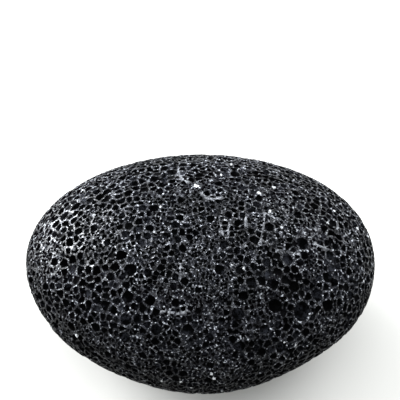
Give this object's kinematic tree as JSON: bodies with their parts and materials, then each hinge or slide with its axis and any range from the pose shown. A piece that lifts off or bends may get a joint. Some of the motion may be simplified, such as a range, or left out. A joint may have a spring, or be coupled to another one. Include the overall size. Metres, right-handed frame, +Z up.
{
  "type": "pumice stone",
  "caption": "Ovoid stone of dark volcanic foam, tumbled smooth and open all over with gas pores, for rubbing hard skin; rests flat on its broad side.",
  "frame": {"origin": "under the stone's middle, on the surface that it rests on", "axes": "+X along its length, +Y across its breadth towards its fuller side, +Z up through its thickness"},
  "size_m": [0.0963, 0.0718, 0.0493],
  "materials": {
    "vesicular_lava": "matte"
  },
  "bodies": {
    "root": {"pumice_stone": "vesicular_lava"}
  },
  "joints": []
}
